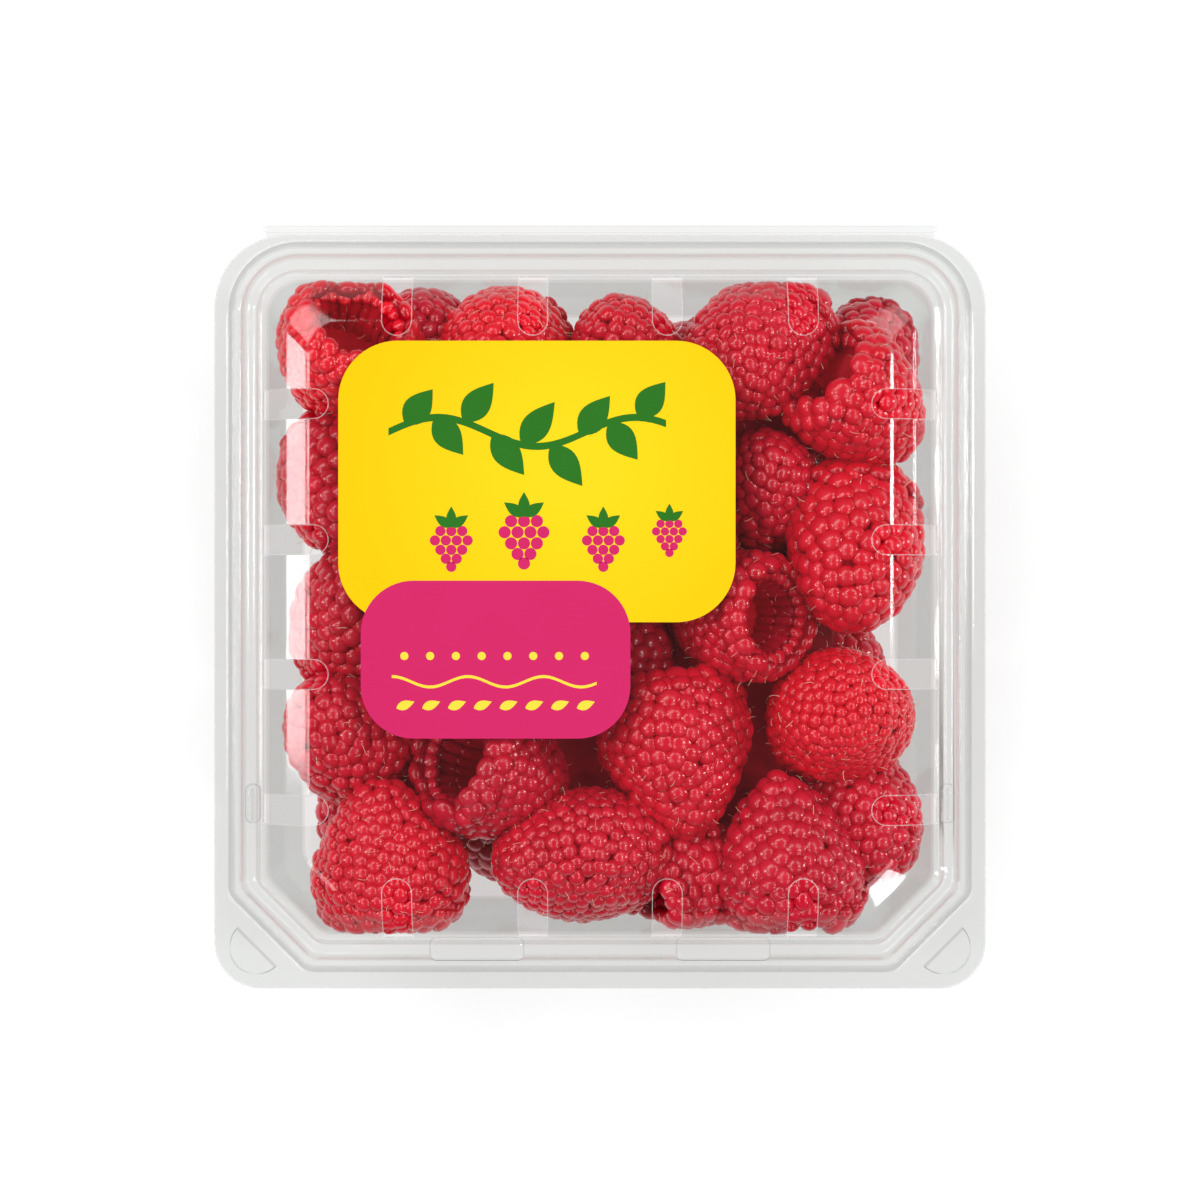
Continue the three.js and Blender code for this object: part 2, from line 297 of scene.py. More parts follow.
def clear_sheet_material(name, edge_grey):
    """Clear PET: sight passes through, gloss lies on it, and steep walls look grey."""
    material, wire = new_material(name)
    wobble = object_noise(wire, 70.0, 0.0)
    relief = wire.node("ShaderNodeBump", {}, {"Strength": 0.06, "Distance": 0.0006, "Height": wobble})
    facing = wire.node("ShaderNodeLayerWeight", {}, {"Blend": 0.5, "Normal": relief}, 1)
    gloss = wire.node("ShaderNodeLayerWeight", {}, {"Blend": 0.12, "Normal": relief}, 0)
    thin = wire.node("ShaderNodeBsdfTransparent", {}, {"Color": (0.952, 0.953, 0.949, 1)})
    thick = wire.node("ShaderNodeBsdfTransparent", {}, {"Color": edge_grey})
    shine = wire.node("ShaderNodeBsdfGlossy", {}, {
        "Color": (1, 1, 1, 1),
        "Roughness": 0.04 + 0.09 * wobble,
        "Normal": relief,
    })
    seen = wire.node("ShaderNodeMixShader", {}, {0: (facing ** 3.0).clamped(), 1: thin, 2: thick})
    share = (gloss * 0.2 + 0.016) * (1.25 - facing)
    whole = wire.node("ShaderNodeMixShader", {}, {0: share.clamped(), 1: seen, 2: shine})
    wire.node("ShaderNodeOutputMaterial", {}, {"Surface": whole})
    return material


def tab_emboss(side, bottom, top):
    """The D-shaped emboss on a front corner tab, with a narrower top."""
    centre_x, centre_y = TAB_CENTRE
    angles = np.linspace(*TAB_ARC, 24)
    rings = []
    for z, radius in ((top, TAB_TOP_RADIUS), (bottom, TAB_RADIUS)):
        inset = (TAB_RADIUS - radius) * DIAGONAL
        outline = [
            (side * (centre_x + inset + radius * math.cos(a)), centre_y - inset + radius * math.sin(a))
            for a in angles
        ]
        rings.append((outline if side > 0 else outline[::-1], z))
    return mesh_object("emboss", *closed_rings(rings))


flange_top = PARTING_Z - RUNNING_GAP
flange_bottom = flange_top - SHEET
tub_profile = [(0, 0), (46.6, 0), (47.5, 0.9), (51.3, 29.6), (52.5, 30.2), (52.7, flange_bottom)]
outside = round_bends(tub_profile + [(57.9, flange_bottom)], 0.8)
inside = offset_profile(outside, -SHEET)
ridge = [(54.4, flange_top), (54.75, flange_top), (55.15, flange_top + 1.6), (55.75, flange_top + 1.6)]
ridge = round_bends(ridge + [(56.15, flange_top), (56.6, flange_top)], 0.3)
tray = mesh_object("clear_tray", *closed_rings(
    profile_rings(inside[1:-1] + ridge)
    + [(flange_outline(0.1), flange_top), (flange_outline(), flange_top - SHEET / 2)]
    + [(flange_outline(0.1), flange_bottom)]
    + profile_rings(outside[1:-1][::-1])
))
for side in (-1, 1):
    boolean(tray, tab_emboss(side, flange_bottom - 0.6, flange_bottom + 0.1), "UNION")

fold_angles = np.linspace(0, 2 * math.pi, FOLD_SIDES + 1)[:-1]
fold_ends = (
    (-FOLD_HALF_LENGTH, FOLD_END_SHARE),
    (FOLD_END_LENGTH - FOLD_HALF_LENGTH, 1),
    (FOLD_HALF_LENGTH - FOLD_END_LENGTH, 1),
    (FOLD_HALF_LENGTH, FOLD_END_SHARE),
)
fold_vertices = []
for x, share in fold_ends:
    for angle in fold_angles:
        r = FOLD_RADIUS * share
        fold_vertices.append((x, FOLD_Y + r * math.cos(angle), PARTING_Z + r * math.sin(angle)))
fold_faces = [tuple(reversed(range(FOLD_SIDES)))]
for level in range(3):
    for i in range(FOLD_SIDES):
        a = level * FOLD_SIDES + i
        b = level * FOLD_SIDES + (i + 1) % FOLD_SIDES
        fold_faces.append((a, b, b + FOLD_SIDES, a + FOLD_SIDES))
fold_faces.append(tuple(3 * FOLD_SIDES + i for i in range(FOLD_SIDES)))
boolean(tray, mesh_object("fold", fold_vertices, fold_faces), "UNION")
strip = [
    (-FOLD_HALF_LENGTH + 0.4, FLANGE_BACK_Y - 0.5),
    (FOLD_HALF_LENGTH - 0.4, FLANGE_BACK_Y - 0.5),
    (FOLD_HALF_LENGTH - 0.4, FOLD_Y),
    (-FOLD_HALF_LENGTH + 0.4, FOLD_Y),
]
boolean(tray, mesh_object("strip", *closed_rings([(strip, flange_top), (strip, flange_bottom)])), "UNION")
smooth_sheet(tray)
tray_sheet = clear_sheet_material("clear_tray_sheet", (0.68, 0.685, 0.675, 1))
tray.data.materials.clear()
tray.data.materials.append(tray_sheet)
pass_light(tray)
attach(tray, "tray")
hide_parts("tray")


# Lid: the upper half, formed from the same sheet. A flat panel, a shoulder and a wall run down
# to a groove, the bead and the flange. Vent slots are cut through wall, shoulder and panel, and
# snap bosses stand in the groove.
LID_TOP_Z = 41.6
SLOT_WIDTH = 4.4
SLOT_INNER = 41.2
SLOT_OUTER_REACH = 51.4
SLOT_CENTRES = (-30.8, -10.2, 10.2, 30.8)
FRONT_BOSS_X = 18.8
FRONT_BOSS = {"half_x": 7.2, "front": -54.0, "back": -50.4}
SIDE_BOSS_X = 53.0
SIDE_BOSS = {"half_x": 1.15, "front": -33.0, "back": -27.0}
BOSS_SINK = 0.2


def rounded_rectangle(left, right, front, back, radius, steps=8):
    """A rectangle with round corners."""
    return (
        rounded_turn(right, back, QUARTER, 2 * QUARTER, radius, steps)
        + rounded_turn(left, back, 2 * QUARTER, 3 * QUARTER, radius, steps)
        + rounded_turn(left, front, -QUARTER, 0, radius, steps)
        + rounded_turn(right, front, 0, QUARTER, radius, steps)
    )


def snap_boss(x, half_x, front, back, bottom, top):
    """A low boss with round corners and a rounded top."""
    rings = []
    for inset, z in ((0.75, top), (0.35, top - 0.12), (0.1, top - 0.45), (0.0, top - 0.9), (0.0, bottom)):
        sides = (x - half_x + inset, x + half_x - inset, front + inset, back - inset)
        rings.append((rounded_rectangle(*sides, 1.0 - 0.5 * inset), z))
    return mesh_object("boss", *closed_rings(rings))


def slot_cutter(centre, outer, turn):
    """A prism for one vent slot: round at its inner end and square at its outer end."""
    half = SLOT_WIDTH / 2
    outline = [(outer, centre - half), (outer, centre + half)]
    for angle in np.linspace(QUARTER, 3 * QUARTER, 15):
        outline.append((SLOT_INNER + half + half * math.cos(angle), centre + half * math.sin(angle)))
    for _ in range(turn):
        outline = [(-y, x) for x, y in outline]
    return closed_rings([(outline, LID_TOP_Z + 1), (outline, PARTING_Z + 1.3)])


def cut_edge_material():
    """The cut edge of PET: hazy white where the knife broke the surface."""
    material, wire = new_material("clear_cut_edge")
    grain = object_noise(wire, 1500.0, 0.0)
    clear = wire.node("ShaderNodeBsdfTransparent", {}, {"Color": (0.95, 0.95, 0.95, 1)})
    haze = wire.node("ShaderNodeBsdfDiffuse", {}, {"Color": (0.9, 0.9, 0.9, 1)})
    whole = wire.node("ShaderNodeMixShader", {}, {0: 0.10 + 0.24 * grain, 1: clear, 2: haze})
    wire.node("ShaderNodeOutputMaterial", {}, {"Surface": whole})
    return material


lid_flange_top = PARTING_Z + RUNNING_GAP + SHEET
groove_top = 34.1
bead_top = 35.9
lid_profile = [
    (0, LID_TOP_Z),
    (43.85, LID_TOP_Z),
    (44.6, 41.43),
    (47.9, 39.85),
    (51.8, 34.4),
    (53.9, groove_top),
    (54.6, bead_top),
    (56.2, bead_top),
    (BEAD_REACH, lid_flange_top),
    (57.9, lid_flange_top),
]
outside = round_bends(lid_profile[:4], 1.35)[:-1]
outside += round_bends(lid_profile[2:5], 1.6)[1:-1] + round_bends(lid_profile[3:], 0.8)[1:]
inside = offset_profile(outside, SHEET)
lid = mesh_object("clear_lid", *closed_rings(
    profile_rings(outside[1:-1])
    + [(flange_outline(0.1), lid_flange_top), (flange_outline(), lid_flange_top - SHEET / 2)]
    + [(flange_outline(0.1), lid_flange_top - SHEET)]
    + profile_rings(inside[1:-1][::-1])
))
cutter_vertices = []
cutter_faces = []
for turn in range(4):
    for centre in SLOT_CENTRES:
        vertices, faces = slot_cutter(centre, SLOT_OUTER_REACH - RING_DIFFERENCE * (turn % 2), turn)
        cutter_faces += [tuple(len(cutter_vertices) + i for i in face) for face in faces]
        cutter_vertices += vertices
boolean(lid, mesh_object("slots", cutter_vertices, cutter_faces), "DIFFERENCE")
lid.data.materials.clear()
lid.data.materials.append(clear_sheet_material("clear_lid_sheet", (0.44, 0.445, 0.43, 1)))
lid.data.materials.append(cut_edge_material())
cut = lid.modifiers.new("cut", "BEVEL")
cut.width = 0.13 * MM
cut.segments = 1
cut.limit_method = "ANGLE"
cut.angle_limit = math.radians(60)
cut.material = 1
settle(lid)
boss_bottom = groove_top - BOSS_SINK
for x in (-FRONT_BOSS_X, FRONT_BOSS_X):
    boolean(lid, snap_boss(x, **FRONT_BOSS, bottom=boss_bottom, top=bead_top - 0.1), "UNION")
for side in (-1, 1):
    boss = snap_boss(side * SIDE_BOSS_X, **SIDE_BOSS, bottom=boss_bottom, top=bead_top - 0.4)
    boolean(lid, boss, "UNION")
    boolean(lid, tab_emboss(side, lid_flange_top - 0.16, lid_flange_top + 0.9), "UNION")
smooth_sheet(lid)
pass_light(lid)
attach(lid, "lid")
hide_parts("lid")


# Berries: real raspberries are clusters of juicy drupelets round a hollow, with a pale hair on
# many a drupelet; the gaps are drawn dark red as painted shade and the tops paler as painted
# sheen. They lie loose in two layers, the upper one just under the lid.
Berry = namedtuple("Berry", "x y z radius height azimuth elevation")
UPPER_BERRIES = [  # middle in x, y and z, radius, height, and the azimuth and elevation of the tip
    (-39.6, 38.0, 27.8, 10.8, 21.5, 247, -52),
    (-15.5, 39.2, 29.8, 10.2, 21.0, 200, 70),
    (-27.5, 41.5, 23.5, 9.0, 19.0, 100, 60),
    (3.6, 39.6, 27.4, 9.6, 20.0, 100, 60),
    (23.0, 38.9, 29.6, 11.0, 23.0, 215, 35),
    (39.8, 37.2, 22.0, 9.0, 19.0, 225, 50),
    (41.0, 30.5, 28.3, 10.8, 20.5, -43, -28),
    (26.3, 19.2, 26.5, 9.4, 20.0, 100, 60),
    (39.2, 7.5, 29.2, 11.1, 25.0, -95, 30),
    (20.0, -1.2, 27.4, 10.6, 20.0, 178, -45),
    (37.4, -16.2, 29.4, 11.2, 22.0, 60, 75),
    (12.0, -24.2, 29.0, 12.2, 24.5, -82, 14),
    (28.6, -36.6, 28.8, 12.2, 24.5, 100, 14),
    (16.5, -41.0, 23.5, 9.0, 19.0, 20, -20),
    (41.5, -34.0, 23.5, 9.5, 20.0, -60, 30),
    (-4.8, -38.3, 29.3, 10.6, 25.0, 185, 20),
    (-14.8, -25.8, 27.4, 10.8, 22.5, -20, -42),
    (-32.8, -36.9, 29.2, 11.9, 22.8, 97, 22),
    (-40.0, -18.5, 27.4, 10.3, 21.0, 150, 50),
    (-38.5, -0.5, 26.8, 10.0, 20.5, 90, 40),
    (-40.6, 17.5, 27.2, 10.0, 21.0, 270, 40),
    (2.0, -7.5, 23.5, 10.5, 21.0, 0, 30),
    (-20.0, 18.0, 29.0, 11.0, 22.0, 30, 70),
    (3.0, 20.0, 28.6, 10.8, 22.0, 150, 70),
    (-18.0, -3.0, 28.8, 10.8, 22.0, 270, 70),
    (-7.5, 8.0, 24.5, 9.5, 20.0, 40, 50),
    (12.5, 8.5, 23.0, 9.0, 19.0, 190, 40),
]
# The brightness column is partly ripeness and partly painted light and shade: berries that lie in shade are
# drawn darker and lit ones paler.
UPPER_LOOKS = (  # drupelet width, taper towards the tip, brightness
    (2.2, 0.1, 1.0), (2.15, 0.0, 1.0), (2.4, 0.1, 0.1), (2.2, 0.1, 0.5), (2.2, 0.05, 0.35),
    (2.4, 0.1, 0.0), (2.4, 0.1, 0.6), (2.3, 0.1, 0.2), (2.75, 0.0, 0.6), (2.05, 0.1, 0.3),
    (1.85, 0.0, 0.8), (2.45, 0.3, 0.4), (2.6, 0.5, 0.05), (2.4, 0.1, 0.1), (2.4, 0.1, 0.1),
    (2.15, 0.0, 0.2), (2.3, 0.05, 0.0), (2.15, 0.3, 0.5), (2.4, 0.1, 0.2), (2.5, 0.1, 0.2),
    (2.5, 0.1, 0.3), (2.6, 0.1, 0.0), (2.6, 0.1, 0.3), (2.6, 0.1, 0.3), (2.6, 0.1, 0.3),
    (2.6, 0.1, 0.1), (2.6, 0.1, 0.1),
)
LOWER_PITCH = 2.7
LOWER_TAPER = 0.1
LOWER_BRIGHTNESS = 0.0
LOWER_ROWS = (-35.0, -11.8, 11.8, 35.0)
LOWER_Z = 11.4
BACK_FROM_Y = 25
FRONT_TO_Y = -12
GOLDEN_ANGLE = math.pi * (3 - math.sqrt(5))
FLOOR_INSIDE = 0.5
PANEL_INSIDE = 41.1
WALL_HEIGHTS = [0.5, 1.4, 29.6, 33.5, 34.2, 39.5, 41.0]  # along the inside of tub and lid
WALL_REACHES = [46.2, 47.1, 50.8, 51.2, 51.2, 47.2, 44.0]
HIDDEN_REACH = 33.5
HIDDEN_FROM_Z = 6.0
HIDDEN_TO_Z = 19.5
HEXAGON_SHARE = 0.866  # the room of one ball in an even layer, as a share of its width squared
HOLLOW = ((0.70, 0.12), (0.58, 0.2), (0.50, 0.45), (0.32, 0.62))  # shares of radius and height
HOLLOW_END = 0.68
HOLLOW_REACH = 0.64
# Painted shade: drupelets in the hollow, where little light reaches, are drawn darker by this much.
HOLLOW_SHADE = 0.35  # how much darker the drupelets in the hollow are
BACK_WALL_CUT = 3.0
WIDEST_AT = 0.36  # where along its height a berry is widest
LUMP = 0.07  # how far a berry may be out of round
BURIED_DEPTH = 1.5  # drupelets this deep in another berry are left out
SIDE_POINTS = 160
CENTRE_DEPTH = 0.5  # from here to RIM_SPACING in drupelet widths
SCATTER = 0.28
EVEN_GAP = 1.1
STAND_OUT = 0.06
RIM_SPACING = 0.95
RIM_REACH = 0.68
NEIGHBOURS = 5
STRETCH = 0.07
DRUPELET_SHARES = (0.72, 0.70, 0.50)  # half sizes, as shares of the distance to its neighbours
SPREAD_ROUNDS = 16
SPREAD_SHARE = 0.3
NOT_ITSELF = 99  # keeps a drupelet from being its own nearest neighbour
RIM_ROWS = (  # outside to hollow: reach and height as shares, lean, half sizes in drupelet widths
    (0.84, 0.09, (0.62, -0.78), (0.72, 0.75, 0.48)),
    (RIM_REACH, 0.075, (-0.12, -0.99), (0.60, 0.95, 0.50)),
    (0.555, 0.20, (-0.97, -0.24), (0.52, 1.35, 0.30)),
    (0.50, 0.38, (-1.0, 0.1), (0.48, 1.3, 0.24)),
)


def seeded_random(seed):
    """The same sequence of numbers from 0 to 1 on every run."""
    state = seed
    while True:
        state = state * 16807 % 2147483647
        yield state / 2147483647


def lower_berries():
    """Rows of berries on the floor, each turned its own way."""
    draw = seeded_random(7)
    spread = lambda amount: (next(draw) - 0.5) * amount
    berries = []
    for x in LOWER_ROWS:
        for y in LOWER_ROWS:
            radius = 10.3 + spread(1)
            height = 21 + spread(2.4)
            place = (x + spread(2), y + spread(2), LOWER_Z)
            berries.append(Berry(*place, radius, height, 360 * next(draw), spread(70)))
    return berries


def inside_pack(points, room):
    """Points moved in from the walls, lid and floor by their room, as berries are pressed flat."""
    room = np.broadcast_to(room, points.shape)
    moved = points.copy()
    moved[:, 2] = np.clip(moved[:, 2], FLOOR_INSIDE + room[:, 2], PANEL_INSIDE - room[:, 2])
    reach = lambda z: np.interp(z, WALL_HEIGHTS, WALL_REACHES)
    limits = []
    for axis in (0, 1):
        limit = reach(moved[:, 2]) - room[:, axis]
        for way in (-DIAGONAL, DIAGONAL):
            beside = reach(moved[:, 2] + way * room[:, 2]) - DIAGONAL * room[:, axis]
            limit = np.minimum(limit, beside)
        limits.append(limit)
    moved[:, 0] = np.clip(moved[:, 0], -limits[0], limits[0])
    moved[:, 1] = np.clip(moved[:, 1], RING_DIFFERENCE - limits[1], limits[1] - RING_DIFFERENCE)
    front_cut = BEAD_CUT - (BEAD_REACH - limits[0]) * (2 - math.sqrt(2))
    cut = np.where(moved[:, 1] < 0, front_cut, BACK_WALL_CUT)
    beyond = np.abs(moved[:, 0]) + np.abs(moved[:, 1]) - (limits[0] + limits[1] - RING_DIFFERENCE - cut)
    moved[:, :2] -= np.sign(moved[:, :2]) * np.clip(beyond, 0, None)[:, None] / 2
    return moved


def berry_axes(azimuth, elevation):
    """Rows are the berry's two side directions and its tip direction."""
    azimuth = math.radians(azimuth)
    elevation = math.radians(elevation)
    level = math.cos(elevation)
    tip = np.array([level * math.cos(azimuth), level * math.sin(azimuth), math.sin(elevation)])
    first = np.cross(tip, [0.0, 0.0, 1.0])
    first /= np.linalg.norm(first)
    return np.array([first, np.cross(tip, first), tip])


def body_profile(radius, height, taper, inset, count):
    """Points and outward normals of a berry's side, from its tip to its rim."""
    middle = WIDEST_AT * height
    length = height - middle
    angle = np.linspace(0.0, math.acos(-middle / length), count)
    narrowed = 1 - taper * np.clip(np.cos(angle), 0, 1)
    r = radius * np.sin(angle) * narrowed
    h = middle + length * np.cos(angle)
    along = np.gradient(np.stack([r, h], axis=1), axis=0)
    out = np.stack([-along[:, 1], along[:, 0]], axis=1)
    out /= np.linalg.norm(out, axis=1)[:, None]
    side = np.stack([r, h], axis=1) - out * inset
    side[:, 0] = np.maximum(side[:, 0], 0)
    return side, out


def place_berry(berry, lumps, points):
    """Points in a berry's own frame, with its lumps, as places in the pack."""
    x, y, z, _, height, azimuth, elevation = berry
    around = np.arctan2(points[:, 1], points[:, 0])
    swell = 1 + lumps[0] * np.cos(2 * around + lumps[1]) + 0.025 * np.cos(3 * around + lumps[2])
    swell += 0.03 * np.sin(2 * math.pi * points[:, 2] / height + lumps[3])
    local = points * np.stack([swell, swell, np.ones(len(points))], axis=1)
    local[:, 2] -= height / 2
    return local @ berry_axes(azimuth, elevation) + np.array([x, y, z])


def meridian_frames(around, out):
    """For each point: the direction round the berry, the one along its side, and outwards."""
    outward = np.stack([out[:, 0] * np.cos(around), out[:, 0] * np.sin(around), out[:, 1]], axis=1)
    sideways = np.stack([-np.sin(around), np.cos(around), np.zeros(len(around))], axis=1)
    return np.stack([sideways, np.cross(outward, sideways), outward], axis=1)


def spread_apart(points, side, gap_wanted):
    """Pushes the points on a berry's side apart until they lie as evenly as packed drupelets."""
    for _ in range(SPREAD_ROUNDS):
        gap = points[:, None] - points[None]
        distance = np.linalg.norm(gap, axis=2) + NOT_ITSELF * np.eye(len(points))
        push = np.clip(gap_wanted - distance, 0, None) / distance
        points = points + SPREAD_SHARE * (gap * push[:, :, None]).sum(axis=1)
        r = np.hypot(points[:, 0], points[:, 1])
        nearest = np.argmin(np.hypot(side[:, 0] - r[:, None], side[:, 1] - points[:, 2:]), axis=1)
        onto = side[nearest, 0] / np.maximum(r, 1e-6)
        points = np.stack([points[:, 0] * onto, points[:, 1] * onto, side[nearest, 1]], axis=1)
    return points, nearest


def drupelet_spiral(shape, pitch, draw):
    """Drupelets over the side of a berry, from its tip to its rim, packed but not in rows."""
    radius, height, taper = shape
    side, out = body_profile(radius, height, taper, CENTRE_DEPTH * pitch, SIDE_POINTS)
    step = np.linalg.norm(np.diff(side, axis=0), axis=1)
    area = np.concatenate([[0], np.cumsum(math.pi * (side[1:, 0] + side[:-1, 0]) * step)])
    count = round(area[-1] / (HEXAGON_SHARE * pitch ** 2))
    order = np.arange(count)
    at = np.interp((order + 0.5) / count * area[-1], area, np.arange(len(side)))
    r = np.interp(at, np.arange(len(side)), side[:, 0])
    h = np.interp(at, np.arange(len(side)), side[:, 1])
    around = order * GOLDEN_ANGLE
    points = np.stack([r * np.cos(around), r * np.sin(around), h], axis=1)
    points += draw.normal(0, SCATTER * pitch, points.shape)
    points, nearest = spread_apart(points, side, EVEN_GAP * pitch)
    gaps = np.linalg.norm(points[:, None] - points[None], axis=2) + NOT_ITSELF * np.eye(count)
    room = np.sort(gaps, axis=1)[:, :NEIGHBOURS].mean(axis=1)
    frames = meridian_frames(np.arctan2(points[:, 1], points[:, 0]), out[nearest])
    points += frames[:, 2] * draw.normal(0, STAND_OUT * pitch, (count, 1))
    stretch = draw.normal(1.0, STRETCH, (count, 2))
    across, along, high = DRUPELET_SHARES
    size = np.stack([across * room * stretch[:, 0], along * room * stretch[:, 1], high * room], axis=1)
    return points, frames, size


def rim_drupelets(shape, pitch, draw):
    """The long drupelets that fold over the rim, and the ribs that they leave in the hollow."""
    radius, height, _ = shape
    count = round(2 * math.pi * RIM_REACH * radius / (RIM_SPACING * pitch))
    parts = []
    for reach, rise, lean, size in RIM_ROWS:
        r = reach * radius
        h = rise * height
        around = np.arange(count) * 2 * math.pi / count + draw.uniform(0, 6)
        points = np.stack([r * np.cos(around), r * np.sin(around), np.full(count, h)], axis=1)
        points += draw.normal(0, 0.04 * pitch, points.shape)
        out = np.tile(np.array(lean) / np.linalg.norm(lean), (count, 1))
        swell = draw.normal(1.0, 0.06, (count, 1))
        parts.append((points, meridian_frames(around, out), np.array(size) * pitch * swell))
    return [np.concatenate(group) for group in zip(*parts)]


def inside_core(points):
    """True where a point is so deep in the core of the heap that nothing of it can be seen."""
    reach = np.max(np.abs(points[:, :2]), axis=1)
    return (reach < HIDDEN_REACH) & (points[:, 2] > HIDDEN_FROM_Z) & (points[:, 2] < HIDDEN_TO_Z)


def inside_berry(points, berry, taper, depth):
    """True where a point lies deeper than this in the flesh of another berry."""
    x, y, z, radius, height, azimuth, elevation = berry
    local = (points - np.array([x, y, z])) @ berry_axes(azimuth, elevation).T
    h = local[:, 2] + height / 2
    side, _ = body_profile(radius, height, taper, depth, 40)
    limit = np.interp(h, side[::-1, 1], side[::-1, 0], left=0, right=0)
    return np.hypot(local[:, 0], local[:, 1]) < limit


def berry_drupelets(members, seed):
    """All drupelets of a group of berries as places, turns, sizes, tints and brightness, which is partly
    ripeness and partly painted light and shade.
    """
    draw = np.random.default_rng(seed)
    parts = []
    for n in members:
        berry, pitch, taper, bright = ALL_BERRIES[n]
        lumps = (draw.uniform(-LUMP, LUMP), *draw.uniform(0, 6.28, 3))
        shape = (berry.radius, berry.height, taper)
        axes = berry_axes(berry.azimuth, berry.elevation)
        sets = (drupelet_spiral(shape, pitch, draw), rim_drupelets(shape, pitch, draw))
        for points, frames, size in sets:
            reach = np.hypot(points[:, 0], points[:, 1])
            # Painted shade: drupelets in the hollow are marked here so that they can be drawn darker.
            in_hollow = np.clip((HOLLOW_REACH * berry.radius - reach) / (0.1 * berry.radius), 0, 1)
            in_hollow *= points[:, 2] < 0.5 * berry.height
            turned = frames @ axes
            room = np.sqrt(np.sum((turned * size[:, :, None]) ** 2, axis=1))
            placed = inside_pack(place_berry(berry, lumps, points), room)
            tint = draw.uniform(0, 1, len(points))
            hidden = inside_core(placed)
            for other, (other_berry, _, other_taper, _) in enumerate(ALL_BERRIES):
                if other != n:
                    hidden |= inside_berry(placed, other_berry, other_taper, BURIED_DEPTH)
            seen = ~hidden
            parts.append((
                placed[seen],
                turned[seen],
                size[seen],
                tint[seen],
                (bright - HOLLOW_SHADE * in_hollow)[seen],
            ))
        BERRY_BODIES.append((berry, taper, lumps, pitch))
    return [np.concatenate(group) for group in zip(*parts)]


def points_object(name, places, turns, sizes, **values):
    """A cloud of points in metres that carries each instance's turn, size and other values."""
    cloud = mesh_object(name, places, [])
    eulers = [Matrix(frame_rows.T.tolist()).to_euler() for frame_rows in turns]
    for label, kind, field, data in (
        ("turn", "FLOAT_VECTOR", "vector", np.array(eulers)),
        ("size", "FLOAT_VECTOR", "vector", sizes * MM),
        *((label, "FLOAT", "value", data) for label, data in values.items()),
    ):
        attribute = cloud.data.attributes.new(label, kind, "POINT")
        attribute.data.foreach_set(field, np.ascontiguousarray(data, dtype=np.float32).ravel())
    return cloud


def node_tree(name, inputs):
    """An empty Geometry Nodes tree with a geometry in and out and the named inputs."""
    tree = bpy.data.node_groups.new(name, "GeometryNodeTree")
    tree.interface.new_socket("Points", in_out="INPUT", socket_type="NodeSocketGeometry")
    for label, kind, value in inputs:
        tree.interface.new_socket(label, in_out="INPUT", socket_type=kind).default_value = value
    tree.interface.new_socket("Geometry", in_out="OUTPUT", socket_type="NodeSocketGeometry")
    return tree


def scatter(wire, points, shape, material):
    """Ends a tree: puts the shape on each point, turned and sized, as one plain mesh."""
    named = lambda label: wire.node(
        "GeometryNodeInputNamedAttribute", {"data_type": "FLOAT_VECTOR"}, {"Name": label})
    instances = wire.node("GeometryNodeInstanceOnPoints", {}, {
        "Points": points,
        "Instance": shape,
        "Rotation": wire.node("FunctionNodeEulerToRotation", {}, {0: named("turn")}),
        "Scale": named("size"),
    })
    whole = wire.node("GeometryNodeRealizeInstances", {}, {0: instances})
    whole = wire.node("GeometryNodeSetMaterial", {}, {"Geometry": whole, "Material": material})
    wire.node("NodeGroupOutput", {}, {0: whole})


def run_tree(target, tree, **values):
    """Runs the tree on the object, with its named inputs set, and keeps the plain mesh."""
    modifier = target.modifiers.new(tree.name, "NODES")
    modifier.node_group = tree
    for item in tree.interface.items_tree:
        if item.in_out == "INPUT" and item.name in values:
            modifier[item.identifier] = values[item.name]
    settle(target)


def drupelet_material():
    """Drupelet skin, each a little different: deep red painted shade in the grooves, and a paler, pinker
    painted sheen on top.
    """
    material, wire = new_material("raspberry_skin")
    value = lambda label: wire.node("ShaderNodeAttribute", {"attribute_name": label}, output=2)
    height = value("height")
    tint = value("tint")
    mottle = object_noise(wire, 420.0, 1.0)
    fine = object_noise(wire, 1500.0, 0.0)
    skin = (0.55 * tint + 0.45 * mottle).blend((0.40, 0.0012, 0.014, 1), (0.62, 0.003, 0.026, 1))
    # Painted light and shade: the berry's brightness, partly ripeness and partly how lit it lies, with
    # painted shade in the hollow, pales or darkens the skin.
    bright = value("bright")
    skin = (bright * 0.8).clamped().blend(skin, (0.80, 0.003, 0.014, 1))
    skin = (bright * -0.9).clamped().blend(skin, (0.22, 0.0006, 0.006, 1))
    # Painted shade: the lower part of each drupelet, down in the grooves, is drawn deep red.
    deep = (1.1 - height * 1.3).clamped()
    skin = (deep * 1.2).clamped().blend(skin, (0.30, 0.0006, 0.008, 1))
    # Painted sheen: the drupelets' tops are drawn paler pink, where light catches the fine fuzz.
    painted_top_sheen = ((height - 0.80) * 3.0 + (mottle - 0.5) * 1.6).clamped()
    skin = (painted_top_sheen * 0.1).blend(skin, (0.86, 0.09, 0.16, 1))
    relief = wire.node("ShaderNodeBump", {}, {"Strength": 0.25, "Distance": 0.00015, "Height": fine})
    shader = wire.node("ShaderNodeBsdfPrincipled", {}, {
        "Base Color": skin,
        "Roughness": 0.13 + 0.18 * mottle,
        "IOR": 1.5,
        "Specular IOR Level": 0.46,
        "Sheen Weight": 0.07,
        "Sheen Roughness": 0.25,
        "Sheen Tint": (1.0, 0.35, 0.50, 1),
        "Normal": relief,
    })
    wire.node("ShaderNodeOutputMaterial", {}, {"Surface": shader})
    return material


# Painted glow: flesh and core give off light in their own colour, standing in for light that comes through
# the fruit.
PAINTED_FRUIT_GLOW = 0.25  # light that comes through the fruit, as a share of its colour


